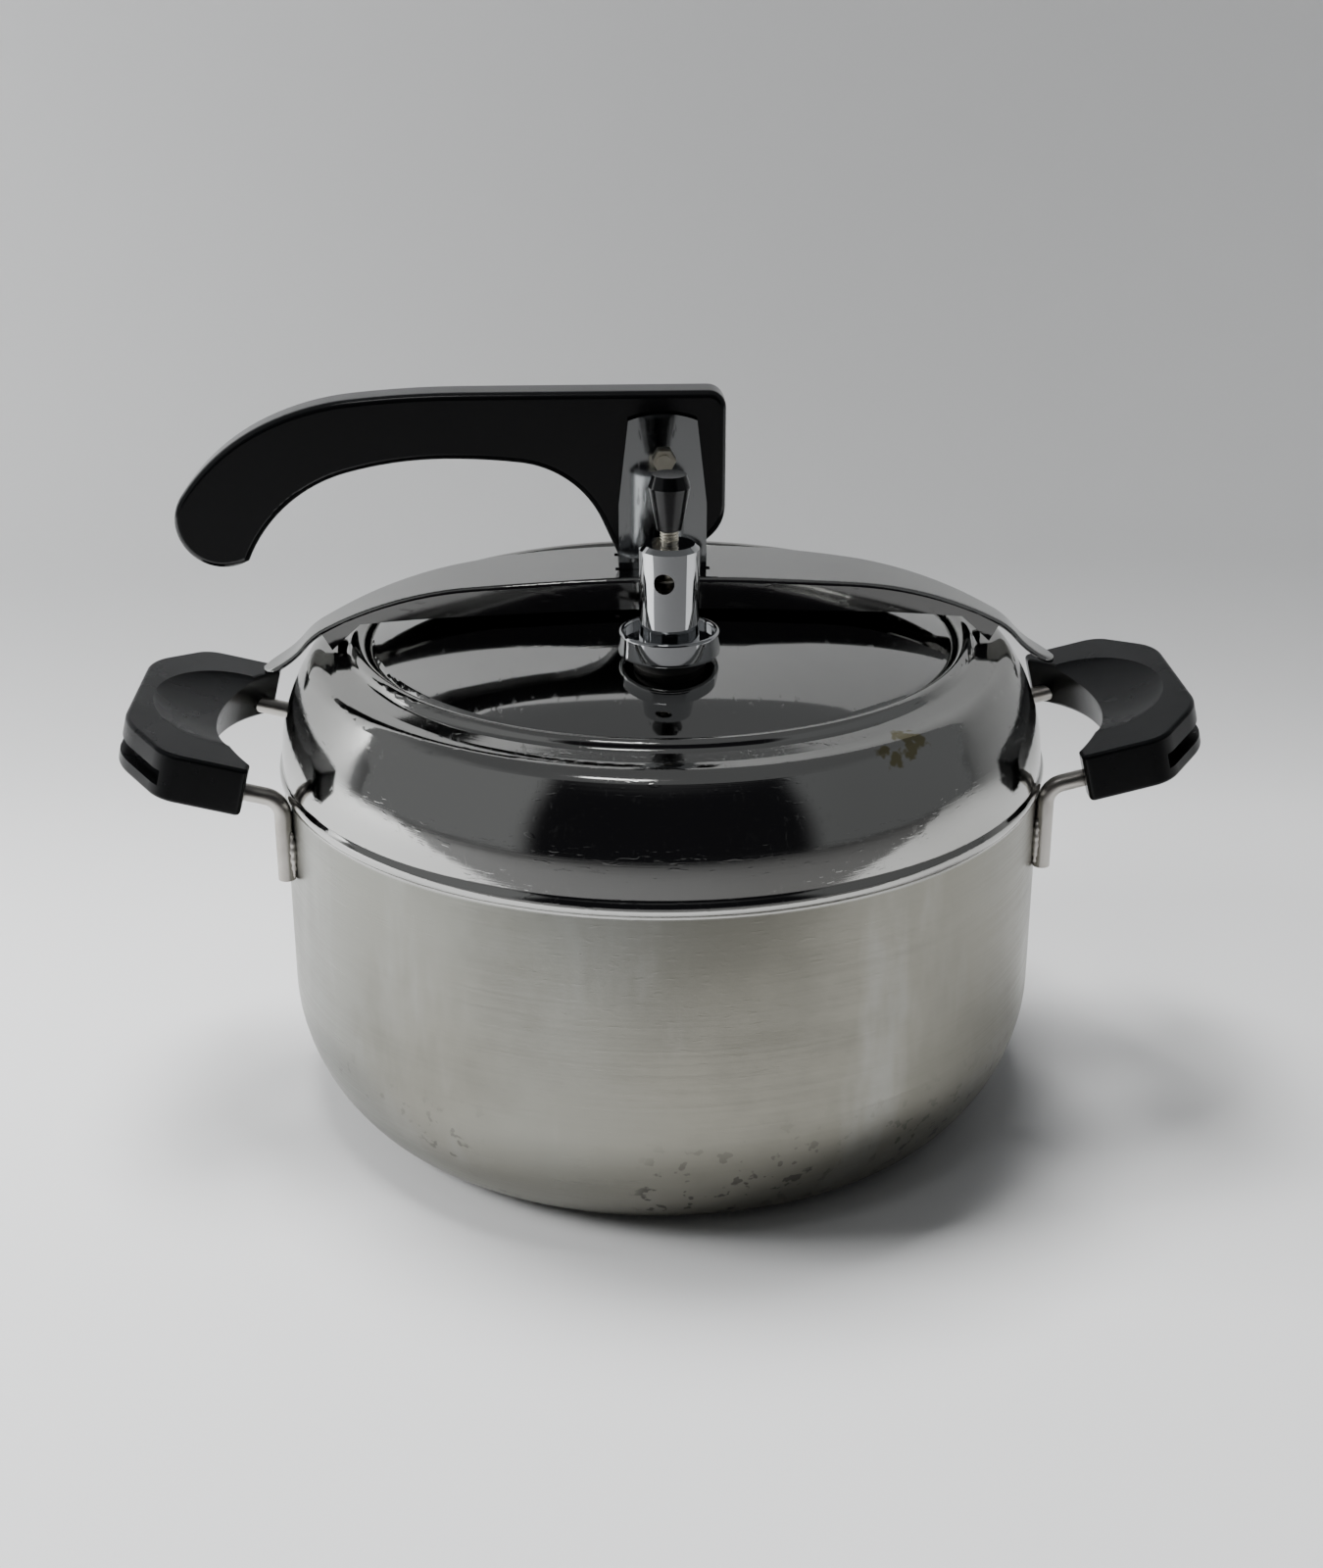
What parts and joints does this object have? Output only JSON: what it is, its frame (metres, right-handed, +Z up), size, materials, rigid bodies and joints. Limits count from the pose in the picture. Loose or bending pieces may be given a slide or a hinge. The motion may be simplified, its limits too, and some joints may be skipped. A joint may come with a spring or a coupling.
{
  "type": "pressure canner",
  "caption": "Round stainless pressure canner with an inner domed lid closed by a cam lever on a rim bridge, a pull valve and side grips.",
  "frame": {"origin": "centre of the pot's base, on the surface it stands on", "axes": "+Z up, +X along the bridge and the side grips, -Y towards the operating valve"},
  "size_m": [0.314, 0.226, 0.2142],
  "materials": {
    "stainless_body": "satin below the bead, polished above",
    "polished_steel": "mirror polished stainless steel",
    "rod_steel": "dull drawn steel",
    "fastener_steel": "plain steel",
    "valve_chrome": "bright chrome",
    "valve_brass": "plain brass",
    "lever_bakelite": "high gloss",
    "grip_bakelite": "satin",
    "gasket_rubber": "matte"
  },
  "bodies": {
    "pot": {"pot_body": "stainless_body", "right_handle_wire": "rod_steel", "right_grip_lower": "grip_bakelite", "right_grip_upper": "grip_bakelite", "right_grip_screws": "fastener_steel", "left_handle_wire": "rod_steel", "left_grip_lower": "grip_bakelite", "left_grip_upper": "grip_bakelite", "left_grip_screws": "fastener_steel"},
    "lid": {"lid_plate": "polished_steel", "lid_gasket": "gasket_rubber", "lever_bracket": "polished_steel", "bracket_rivets": "polished_steel", "pivot_bolt": "fastener_steel", "pivot_nut": "fastener_steel", "valve_stem": "valve_chrome", "valve_gaskets": "gasket_rubber", "valve_nut": "fastener_steel", "valve_collar": "valve_chrome", "valve_body": "valve_chrome", "safety_valve_gaskets": "gasket_rubber", "safety_valve_nut": "fastener_steel", "safety_valve_body": "valve_chrome", "valve_spring": "fastener_steel"},
    "bridge": {"bridge": "polished_steel"},
    "lever": {"lever": "lever_bakelite", "lever_bushing": "fastener_steel"},
    "valve_pull": {"valve_pin": "fastener_steel", "valve_knob": "grip_bakelite"},
    "safety_plug": {"safety_valve_plug": "valve_brass"}
  },
  "joints": [
    {"name": "lever_pivot", "type": "hinge", "parent": "lid", "child": "lever", "pos_m": [0.0003, 0, 0.1955], "axis": [0, 1, 0], "range_deg": [0, 90]},
    {"name": "lid_drop", "type": "slide", "parent": "pot", "child": "lid", "axis": [0, 0, -1], "range_m": [0, 0.0101]},
    {"name": "bridge_slide", "type": "slide", "parent": "lid", "child": "bridge", "axis": [0, 0, 1], "range_m": [0, 0.0101]},
    {"name": "valve_lift", "type": "slide", "parent": "lid", "child": "valve_pull", "axis": [0, 0, 1], "range_m": [0, 0.004], "stiffness_N_per_m": 300, "springref_m": -0.004, "deforming": ["valve_spring"]},
    {"name": "safety_valve_lift", "type": "slide", "parent": "lid", "child": "safety_plug", "axis": [0, 0, 1], "range_m": [0, 0.002]}
  ],
  "couplings": [
    {"joint": "lid_drop", "follows": "lever_pivot", "m_per_rad": 0.006366},
    {"joint": "bridge_slide", "follows": "lever_pivot", "m_per_rad": 0.006366}
  ]
}
